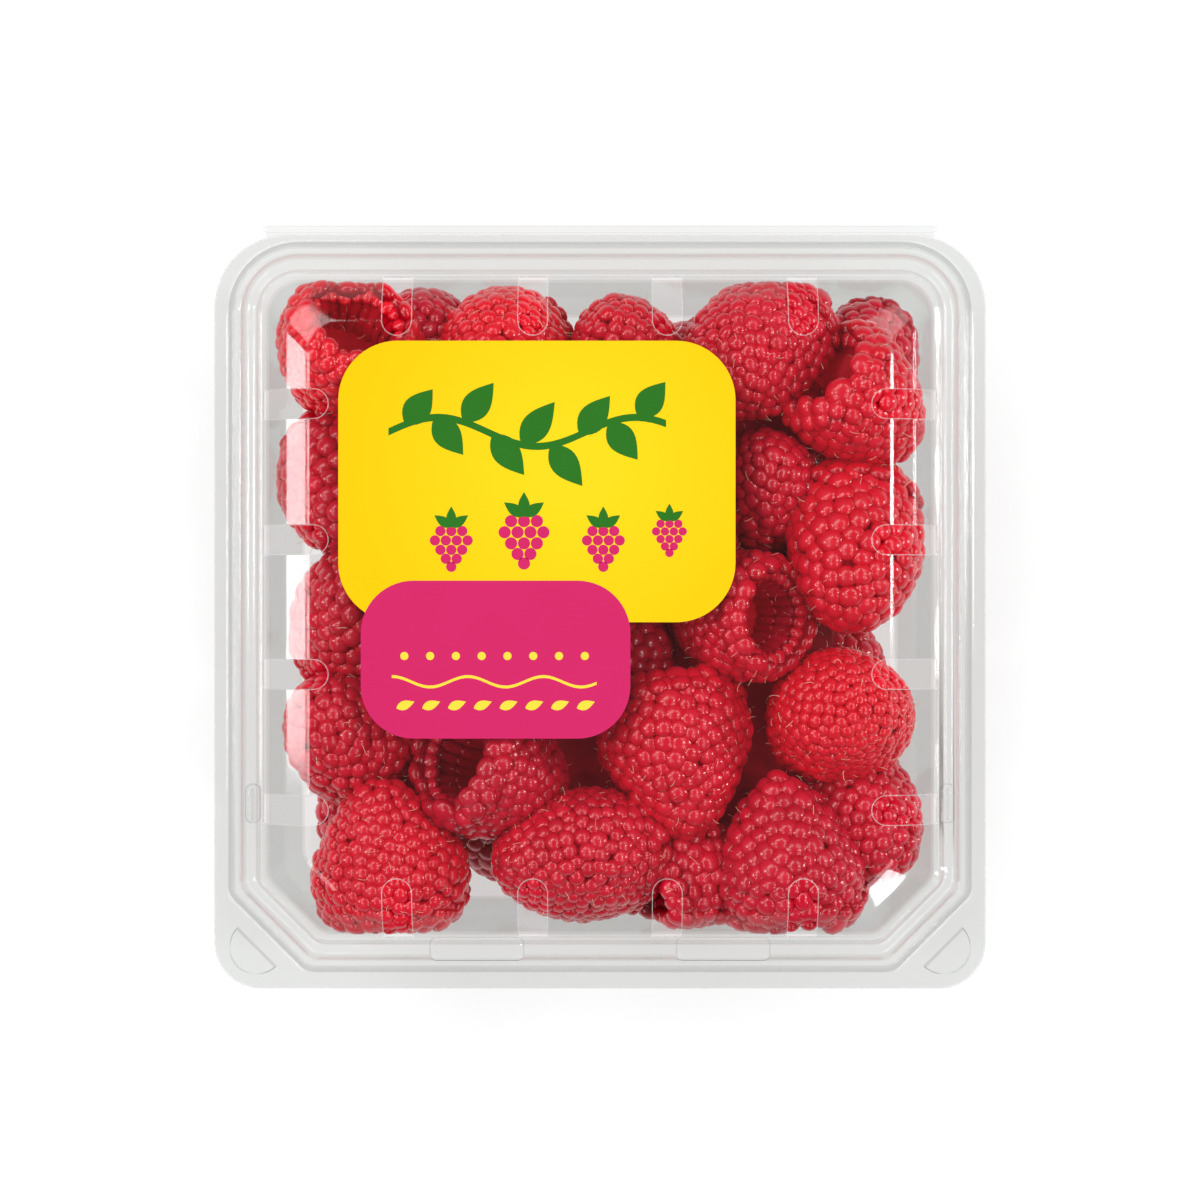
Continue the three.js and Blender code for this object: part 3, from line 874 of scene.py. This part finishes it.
def flesh_material():
    """The flesh between and behind the drupelets, and the lining of the hollow, with a painted glow."""
    material, wire = new_material("raspberry_flesh")
    mottle = object_noise(wire, 500.0, 1.0)
    flesh = mottle.blend((0.34, 0.0014, 0.007, 1), (0.50, 0.003, 0.014, 1))
    relief = wire.node("ShaderNodeBump", {}, {"Strength": 0.5, "Distance": 0.0004, "Height": mottle})
    shader = wire.node("ShaderNodeBsdfPrincipled", {}, {
        "Base Color": flesh,
        "Roughness": 0.6 + 0.2 * mottle,
        "Specular IOR Level": 0.2,
        # Painted glow from the flesh itself.
        "Emission Color": flesh,
        "Emission Strength": PAINTED_FRUIT_GLOW,
        "Normal": relief,
    })
    wire.node("ShaderNodeOutputMaterial", {}, {"Surface": shader})
    return material


def drupelet_tree():
    """One drupelet, a ball whose height attribute runs from 0 below to 1 on top, on each point."""
    tree = node_tree("drupelets", [("Roundness", "NodeSocketInt", 2)])
    tree.interface.new_socket("Skin", in_out="INPUT", socket_type="NodeSocketMaterial")
    wire = Wire(tree)
    given = wire.node("NodeGroupInput")
    inlet = {socket.name: Wire(tree, socket) for socket in given.socket.node.outputs}
    ball = wire.node("GeometryNodeMeshIcoSphere", {}, {"Radius": 1.0, "Subdivisions": inlet["Roundness"]})
    place = wire.node("ShaderNodeSeparateXYZ", {}, {0: wire.node("GeometryNodeInputPosition")}, 2)
    ball = wire.node("GeometryNodeStoreNamedAttribute", {"data_type": "FLOAT"}, {
        "Geometry": ball,
        "Name": "height",
        "Value": 0.5 + 0.5 * place,
    })
    ball = wire.node("GeometryNodeSetShadeSmooth", {}, {0: ball})
    scatter(wire, inlet["Points"], ball, inlet["Skin"])
    return tree


def berry_body(berry, taper, lumps, pitch, segments=24):
    """The flesh under a berry's drupelets, with its hollow, as vertices and faces."""
    side, _ = body_profile(berry.radius, berry.height, taper, 0.8 * pitch, 13)
    rings = [tuple(p) for p in side[1:]]
    rings += [(r * berry.radius, h * berry.height) for r, h in HOLLOW]
    angles = np.arange(segments) * 2 * math.pi / segments
    vertices = [(0.0, 0.0, side[0, 1])]
    for r, h in rings:
        vertices += [(r * math.cos(a), r * math.sin(a), h) for a in angles]
    vertices.append((0.0, 0.0, HOLLOW_END * berry.height))
    faces = []
    for i in range(segments):
        j = (i + 1) % segments
        faces.append((0, 1 + i, 1 + j))
        for level in range(len(rings) - 1):
            a, b = 1 + level * segments + i, 1 + level * segments + j
            faces.append((a, a + segments, b + segments, b))
        last = 1 + (len(rings) - 1) * segments
        faces.append((last + i, len(vertices) - 1, last + j))
    placed = place_berry(berry, lumps, np.array(vertices))
    return inside_pack(placed, 0.9 * pitch), faces


upper = [Berry(*row) for row in UPPER_BERRIES]
ALL_BERRIES = [(berry, *look) for berry, look in zip(upper, UPPER_LOOKS)]
ALL_BERRIES += [(berry, LOWER_PITCH, LOWER_TAPER, LOWER_BRIGHTNESS) for berry in lower_berries()]
BERRY_BODIES = []  # berry_drupelets adds each berry that it has covered
skin = drupelet_material()
drupelets = drupelet_tree()
berry_groups = {
    "back": [n for n, berry in enumerate(upper) if berry.y > BACK_FROM_Y],
    "middle": [n for n, berry in enumerate(upper) if FRONT_TO_Y < berry.y <= BACK_FROM_Y],
    "front_right": [n for n, berry in enumerate(upper) if berry.y <= FRONT_TO_Y and berry.x > 0],
    "front_left": [n for n, berry in enumerate(upper) if berry.y <= FRONT_TO_Y and berry.x <= 0],
    "lower": range(len(upper), len(ALL_BERRIES)),
}
hair_places = []
hair_turns = []
for seed, (group, members) in enumerate(berry_groups.items()):
    places, turns, sizes, tints, brights = berry_drupelets(members, 11 + seed)
    cloud = points_object("berries_" + group, places, turns, sizes, tint=tints, bright=brights)
    run_tree(cloud, drupelets, Roundness=2, Skin=skin)
    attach(cloud, "tray")
    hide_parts("berries")
    if group != "lower":
        hair_places.append(places + turns[:, 2] * sizes[:, 2:] * 0.9)
        hair_turns.append(turns)

body_vertices = []
body_faces = []
for berry, taper, lumps, pitch in BERRY_BODIES:
    vertices, faces = berry_body(berry, taper, lumps, pitch)
    body_faces += [tuple(len(body_vertices) + i for i in face) for face in faces]
    body_vertices += [tuple(v) for v in vertices]
flesh = flesh_material()
bodies = mesh_object("berry_flesh", body_vertices, body_faces)
bodies.data.shade_smooth()
bodies.data.materials.append(flesh)
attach(bodies, "tray")
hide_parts("berries")


# Core of the heap: a mass of fruit deep between the berries, seen only in the gaps, coloured dark red
# as painted shade and with a painted glow. It lies in the tray, under the upper berries.
CORE_PROFILE = [(30, 23.5), (36, 21), (38, 14), (36, 7), (30, 4)]
core = mesh_object("heap_core", *closed_rings(profile_rings(CORE_PROFILE)))
core_material, wire = new_material("raspberry_core_painted_shade")
mottle = object_noise(wire, 260.0, 1.0)
relief = wire.node("ShaderNodeBump", {}, {"Strength": 0.8, "Distance": 0.001, "Height": mottle})
# Painted shade: the core is coloured a darker red than the berries, as fruit deep in the heap looks.
painted_shade_red = mottle.blend((0.10, 0.0004, 0.003, 1), (0.26, 0.001, 0.008, 1))
shader = wire.node("ShaderNodeBsdfPrincipled", {}, {
    "Base Color": painted_shade_red,
    "Roughness": 0.6 + 0.2 * mottle,
    "Specular IOR Level": 0.1,
    # Painted glow from the core itself.
    "Emission Color": painted_shade_red,
    "Emission Strength": PAINTED_FRUIT_GLOW,
    "Normal": relief,
})
wire.node("ShaderNodeOutputMaterial", {}, {"Surface": shader})
core.data.materials.append(core_material)
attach(core, "tray")
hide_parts("berries")


# Hairs: the dry, straw-coloured styles, each a fine curved hair that grows on a drupelet and
# leans its own way.
HAIR_SHARE = 0.26  # of all drupelets
HAIR_LENGTHS = (0.7, 1.5)
HAIR_TILT = 0.9
HAIR_ROOM = 0.2  # between a hair's end and the clear sheet


def hair_tree():
    """A tapered hair, bent over at its end, on each point."""
    tree = node_tree("hairs", [("Width", "NodeSocketFloat", 0.028), ("Bend", "NodeSocketFloat", 0.5)])
    tree.interface.new_socket("Straw", in_out="INPUT", socket_type="NodeSocketMaterial")
    wire = Wire(tree)
    given = wire.node("NodeGroupInput")
    inlet = {socket.name: Wire(tree, socket) for socket in given.socket.node.outputs}
    tip = wire.node("ShaderNodeCombineXYZ", {}, {0: inlet["Bend"], 1: 0.0, 2: 1.0})
    line = wire.node("GeometryNodeCurveQuadraticBezier", {}, {
        "Resolution": 4,
        "Start": (0.0, 0.0, -0.1),
        "Middle": (0.0, 0.0, 0.6),
        "End": tip,
    })
    along = wire.node("GeometryNodeSplineParameter")
    line = wire.node("GeometryNodeSetCurveRadius", {}, {"Curve": line, "Radius": 1.05 - 0.8 * along})
    ring = wire.node("GeometryNodeCurvePrimitiveCircle", {}, {"Resolution": 3, "Radius": inlet["Width"]})
    hair = wire.node("GeometryNodeCurveToMesh", {}, {
        "Curve": line,
        "Profile Curve": ring,
        "Fill Caps": True,
    })
    scatter(wire, inlet["Points"], hair, inlet["Straw"])
    return tree


straw, wire = new_material("dry_straw")
mottle = object_noise(wire, 900.0)
shader = wire.node("ShaderNodeBsdfPrincipled", {}, {
    "Base Color": mottle.blend((0.80, 0.42, 0.26, 1), (0.93, 0.70, 0.52, 1)),
    "Roughness": 0.45 + 0.2 * mottle,
})
wire.node("ShaderNodeOutputMaterial", {}, {"Surface": shader})

draw = np.random.default_rng(5)
places = np.concatenate(hair_places)
turns = np.concatenate(hair_turns)
chosen = draw.random(len(places)) < HAIR_SHARE
places = places[chosen]
tilt = draw.normal(0, HAIR_TILT, (len(places), 2))
up = turns[chosen][:, 2] + tilt[:, :1] * turns[chosen][:, 0] + tilt[:, 1:] * turns[chosen][:, 1]
up /= np.linalg.norm(up, axis=1)[:, None]
first = np.cross(up, draw.normal(0, 1, up.shape))
first /= np.linalg.norm(first, axis=1)[:, None]
turns = np.stack([first, np.cross(up, first), up], axis=1)
lengths = np.tile(draw.uniform(*HAIR_LENGTHS, (len(places), 1)), (1, 3))
ends = places + up * lengths
kept = np.all(np.abs(ends - inside_pack(ends, HAIR_ROOM)) < 1e-6, axis=1)
hairs = points_object("berry_hairs", places[kept], turns[kept], lengths[kept])
run_tree(hairs, hair_tree(), Straw=straw)
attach(hairs, "tray")
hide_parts("berries")


# Label: a coated paper sticker on the lid's panel, a yellow panel with a magenta tab at its lower
# left, with printed berries, leaves and a wave. Its print is a generic design.
LABEL_PANEL = {"left": -39.6, "right": 20.5, "front": -2.3, "back": 40.3, "radius": 9.0}
LABEL_TAB = {"left": -36.2, "right": 4.6, "front": -19.9, "back": 4.0, "radius": 8.0}
LABEL_BOTTOM = LID_TOP_Z + 0.03
PAPER = 0.12
INK = 0.012


def flat_prism(name, outline, bottom, top):
    """A flat piece of the outline's shape between two heights."""
    return mesh_object(name, *closed_rings([(outline, top), (outline, bottom)]))


def ink_material(name, colour, darker, painted_light=None):
    """Coated paper printed in one colour, with slight unevenness, and if asked a painted pool of light that
    makes its middle paler.
    """
    material, wire = new_material(name)
    cloud = object_noise(wire, 60.0, 2.0)
    fibre = object_noise(wire, 1800.0, 2.0)
    ink = (0.7 * cloud + 0.3 * fibre).blend(colour, darker)
    # Painted light: a pool of paler colour round a centre on the sticker.
    if painted_light:
        place = wire.node("ShaderNodeTexCoord", output=3)
        ends = {0: place, 1: PAINTED_LIGHT_CENTRE}
        away = wire.node("ShaderNodeVectorMath", {"operation": "DISTANCE"}, ends, 1)
        ink = (1.2 - away * (1.2 / PAINTED_LIGHT_REACH)).clamped().blend(ink, painted_light)
    relief = wire.node("ShaderNodeBump", {}, {"Strength": 0.15, "Distance": 0.0001, "Height": fibre})
    shader = wire.node("ShaderNodeBsdfPrincipled", {}, {
        "Base Color": ink,
        "Roughness": 0.42 + 0.16 * fibre,
        "Specular IOR Level": 0.08,
        "Normal": relief,
    })
    wire.node("ShaderNodeOutputMaterial", {}, {"Surface": shader})
    return material


# Centre and reach of the pool of painted light on the yellow.
PAINTED_LIGHT_CENTRE = (-0.004, 0.021, LID_TOP_Z * MM)
PAINTED_LIGHT_REACH = 0.034
# The third yellow tone is the paler colour of the painted light.
YELLOW_TONES = ((0.86, 0.53, 0.0003, 1), (0.84, 0.50, 0.0003, 1), (0.86, 0.60, 0.008, 1))
inks = {
    "yellow": ink_material("ink_yellow", *YELLOW_TONES),
    "pale": ink_material("ink_pale_yellow", (0.90, 0.66, 0.06, 1), (0.88, 0.62, 0.04, 1)),
    "magenta": ink_material("ink_magenta", (0.585, 0.020, 0.125, 1), (0.55, 0.016, 0.108, 1)),
    "back": ink_material("sticker_back", (0.80, 0.79, 0.76, 1), (0.76, 0.75, 0.72, 1)),
    "green": ink_material("ink_green", (0.024, 0.165, 0.014, 1), (0.018, 0.135, 0.011, 1)),
}
label_parts = []


def add_print(ink, outline, level, bottom=LABEL_BOTTOM + PAPER * 0.8):
    """A printed shape, at its own level over the paper."""
    part = flat_prism("print", outline, bottom, LABEL_BOTTOM + PAPER + level * INK)
    part.data.materials.append(inks[ink])
    label_parts.append(part)


def add_paper(ink, outline, level, bottom):
    """A part of the sticker's paper: inked on top, bare and white at its back."""
    add_print(ink, outline, level, bottom)
    paper = label_parts[-1].data
    paper.materials.append(inks["back"])
    for face in paper.polygons:
        face.material_index = 1 if face.normal.z < -0.9 else 0


def circle(x, y, radius, steps=24):
    """A round outline about x, y."""
    angles = np.linspace(0, 2 * math.pi, steps + 1)[:-1]
    return [(x + radius * math.cos(a), y + radius * math.sin(a)) for a in angles]


def leaf(x, y, length, width, heading):
    """A pointed leaf outline that starts at x, y."""
    along = np.linspace(0, 1, 13)
    half = width / 2 * np.sin(math.pi * along ** 0.8)
    right = [(length * t, -w) for t, w in zip(along, half)]
    left = [(length * t, w) for t, w in zip(along[1:-1], half[1:-1])][::-1]
    c, s = math.cos(heading), math.sin(heading)
    return [(x + c * u - s * v, y + s * u + c * v) for u, v in right + left]


add_paper("yellow", rounded_rectangle(**LABEL_PANEL, steps=16), 0, LABEL_BOTTOM)
add_paper("magenta", rounded_rectangle(**LABEL_TAB, steps=14), 1, LABEL_BOTTOM + PAPER * 0.2)
# Sprig across the yellow: a waved stem with leaves on both sides.
STEM = {"left": -32.0, "right": 10.0, "middle": 26.5, "rise": 2.2, "half_width": 0.55}
stem_x = np.linspace(STEM["left"], STEM["right"], 40)
stem_y = STEM["middle"] + STEM["rise"] * np.sin((stem_x - STEM["left"]) * 0.21)
upper_edge = list(zip(stem_x, stem_y + STEM["half_width"]))
lower_edge = list(zip(stem_x, stem_y - STEM["half_width"]))
add_print("green", lower_edge + upper_edge[::-1], 1)
for n in range(9):
    x = STEM["left"] + 2.5 + 4.4 * n
    y = np.interp(x, stem_x, stem_y)
    side = 1 - 2 * (n % 2)
    add_print("green", leaf(x, y, 8.2 - 0.35 * abs(n - 4), 4.2, side * math.radians(52)), 2 + n % 2)


PRINTED_ROWS = ((0.0, 3), (-1.05, 4), (-2.1, 3), (-3.1, 2), (-4.0, 1))  # how low, and how many dots
PRINTED_STEP = 1.22
PRINTED_DOT = 0.58
PRINTED_BERRIES = ((-22.5, 11.5, 1.35), (-11.5, 13.0, 1.6), (0.5, 11.5, 1.35), (10.5, 12.6, 1.1))


def printed_berry(x, y, scale):
    """A berry of printed dots that narrows downwards, under three small leaves."""
    for drop, count in PRINTED_ROWS:
        for n in range(count):
            across = (n - (count - 1) / 2) * PRINTED_STEP
            dot = circle(x + scale * across, y + scale * drop, PRINTED_DOT * scale)
            add_print("magenta", dot, 1)
    for layer, angle in enumerate((35, 145, 90)):
        outline = leaf(x, y + 0.45 * scale, 2.3 * scale, 1.1 * scale, math.radians(angle))
        add_print("green", outline, 2 + layer)


for x, y, scale in PRINTED_BERRIES:
    printed_berry(x, y, scale)

# Magenta tab: a pale wave between two rows of dots and small leaves.
WAVE = {"left": -31.5, "right": -0.5, "middle": -11.3, "rise": 0.8, "half_width": 0.22}
DOTS = {"left": -29.6, "step": 3.9, "y": -7.4, "radius": 0.62}
SMALL_LEAF = {"length": 2.9, "width": 1.4, "heading": math.radians(20)}
SMALL_LEAF_Y = -15.3
wave_x = np.linspace(WAVE["left"], WAVE["right"], 40)
wave_y = WAVE["middle"] + WAVE["rise"] * np.sin(wave_x * 0.55)
upper_edge = list(zip(wave_x, wave_y + WAVE["half_width"]))
lower_edge = list(zip(wave_x, wave_y - WAVE["half_width"]))
add_print("pale", lower_edge + upper_edge[::-1], 2)
for n in range(8):
    x = DOTS["left"] + DOTS["step"] * n
    add_print("pale", circle(x, DOTS["y"], DOTS["radius"]), 2)
    add_print("pale", leaf(x - 1.2, SMALL_LEAF_Y, **SMALL_LEAF), 2)

label = label_parts[0]
for part in label_parts:
    part.data.shade_flat()
with bpy.context.temp_override(active_object=label, selected_editable_objects=label_parts):
    bpy.ops.object.join()
label.name = "label_sticker"
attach(label, "lid")
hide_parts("label")


# Surroundings: a pale floor, soft boxes round the pack and a camera straight above its lid. The
# clear sheet's bends and facets mirror the boxes, whose tilts follow from the facets' tilts.
scene = bpy.context.scene
FLOOR_HALF = 900
FLOOR_Z = -0.2
floor_corners = [(x * FLOOR_HALF, y * FLOOR_HALF, FLOOR_Z) for x, y in ((-1, -1), (1, -1), (1, 1), (-1, 1))]
floor = mesh_object("pale_floor", floor_corners, [(0, 1, 2, 3)])
floor_material, wire = new_material("white_acrylic")
cloud = object_noise(wire, 6.0)
shader = wire.node("ShaderNodeBsdfPrincipled", {}, {
    "Base Color": cloud.blend((0.30, 0.318, 0.314, 1), (0.31, 0.328, 0.324, 1)),
    "Roughness": 0.55 + 0.1 * cloud,
    "Emission Color": (0.99, 1.0, 1.0, 1),
    "Emission Strength": 0.66,
})
wire.node("ShaderNodeOutputMaterial", {}, {"Surface": shader})
floor_material.cycles.emission_sampling = "NONE"
floor.data.materials.append(floor_material)
floor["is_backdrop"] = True

world = bpy.data.worlds.new("studio")
scene.world = world
world.use_nodes = True
world.node_tree.nodes["Background"].inputs["Color"].default_value = (1, 1, 1, 1)
world.node_tree.nodes["Background"].inputs["Strength"].default_value = 0.18


def soft_box(name, tilt, heading, width, height, radiance, distance=1.0):
    """A rectangular light that faces the pack, tilted from overhead towards a heading."""
    lamp = bpy.data.lights.new(name, "AREA")
    lamp.shape = "RECTANGLE"
    lamp.size = width
    lamp.size_y = height
    lamp.energy = radiance * math.pi * width * height
    made = bpy.data.objects.new(name, lamp)
    scene.collection.objects.link(made)
    tilt = math.radians(tilt)
    heading = math.radians(heading)
    level = math.sin(tilt)
    towards = Vector((level * math.cos(heading), level * math.sin(heading), math.cos(tilt)))
    made.location = towards * distance + Vector((0, 0, 0.03))
    side = Vector((towards.x, towards.y, 0)).normalized()
    across = towards.cross(side).normalized()
    made.rotation_euler = Matrix((across.cross(towards), across, towards)).transposed().to_euler()
    made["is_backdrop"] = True


# Each box: its tilt and heading in degrees, its width and height in metres, and its radiance.
soft_box("left_strip", 56, 178, 0.24, 0.17, 17)
soft_box("left_edge", 31, 178, 0.16, 0.17, 10)
soft_box("right_strip", 31, 5, 0.20, 0.09, 36)
soft_box("right_low", 80, 4, 0.26, 0.09, 40)
soft_box("back_left", 38, 130, 0.28, 0.70, 6.3)
soft_box("back_right", 38, 50, 0.28, 0.56, 4.0)
soft_box("front_left", 38, 220, 0.34, 0.34, 4.6)
soft_box("front_right", 38, 320, 0.34, 0.34, 4.0)
soft_box("corner_glint", 56, -45, 0.10, 0.014, 60)

CAMERA_LENS = 147
CAMERA_Y = 0.00107
CAMERA_HEIGHT = 0.75
camera_data = bpy.data.cameras.new("camera")
camera_data.lens = CAMERA_LENS
camera_data.clip_start = 0.01
camera = bpy.data.objects.new("camera", camera_data)
scene.collection.objects.link(camera)
camera.location = (0.0, CAMERA_Y, PARTING_Z * MM + CAMERA_HEIGHT)
scene.camera = camera
scene.view_settings.view_transform = "Standard"
scene.cycles.transparent_max_bounces = 12
scene.cycles.max_bounces = 6
scene.cycles.diffuse_bounces = 2
scene.cycles.glossy_bounces = 2

sizes = {"cad": [list(corner) for corner in cad_box], "visual": [list(corner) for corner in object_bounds()]}
